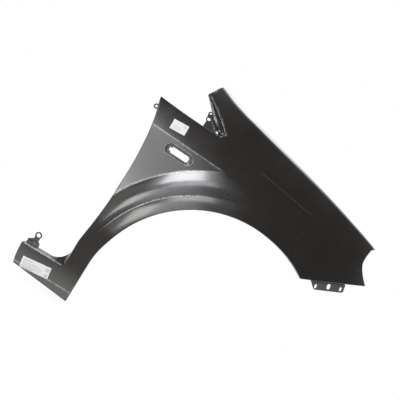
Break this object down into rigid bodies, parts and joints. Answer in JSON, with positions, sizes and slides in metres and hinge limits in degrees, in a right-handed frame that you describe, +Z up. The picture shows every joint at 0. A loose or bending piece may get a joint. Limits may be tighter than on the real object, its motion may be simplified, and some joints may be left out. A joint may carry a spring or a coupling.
{
  "type": "car front fender",
  "caption": "Right-hand front fender of a small hatchback: black-coated pressed steel panel with flared wheel arch, side lamp hole, folded flanges, welded brackets and plain paper labels.",
  "frame": {"origin": "on the underside of the bolt flange beside the bonnet, halfway between its two middle bolt holes, where the fender rests on the inner wing rail", "axes": "+X forward along the car, +Y inboard towards the engine bay, +Z up; the painted side faces -Y"},
  "size_m": [0.9344, 0.2076, 0.8028],
  "materials": {
    "black_e_coat": "satin",
    "coated_bracket_steel": "satin",
    "label_paper": "matte"
  },
  "bodies": {
    "root": {"fender_panel": "black_e_coat", "sill_bracket": "coated_bracket_steel", "upper_bracket": "coated_bracket_steel", "scuttle_bracket": "coated_bracket_steel", "bumper_bracket": "coated_bracket_steel", "sill_label": "label_paper", "wing_label": "label_paper"}
  },
  "joints": []
}
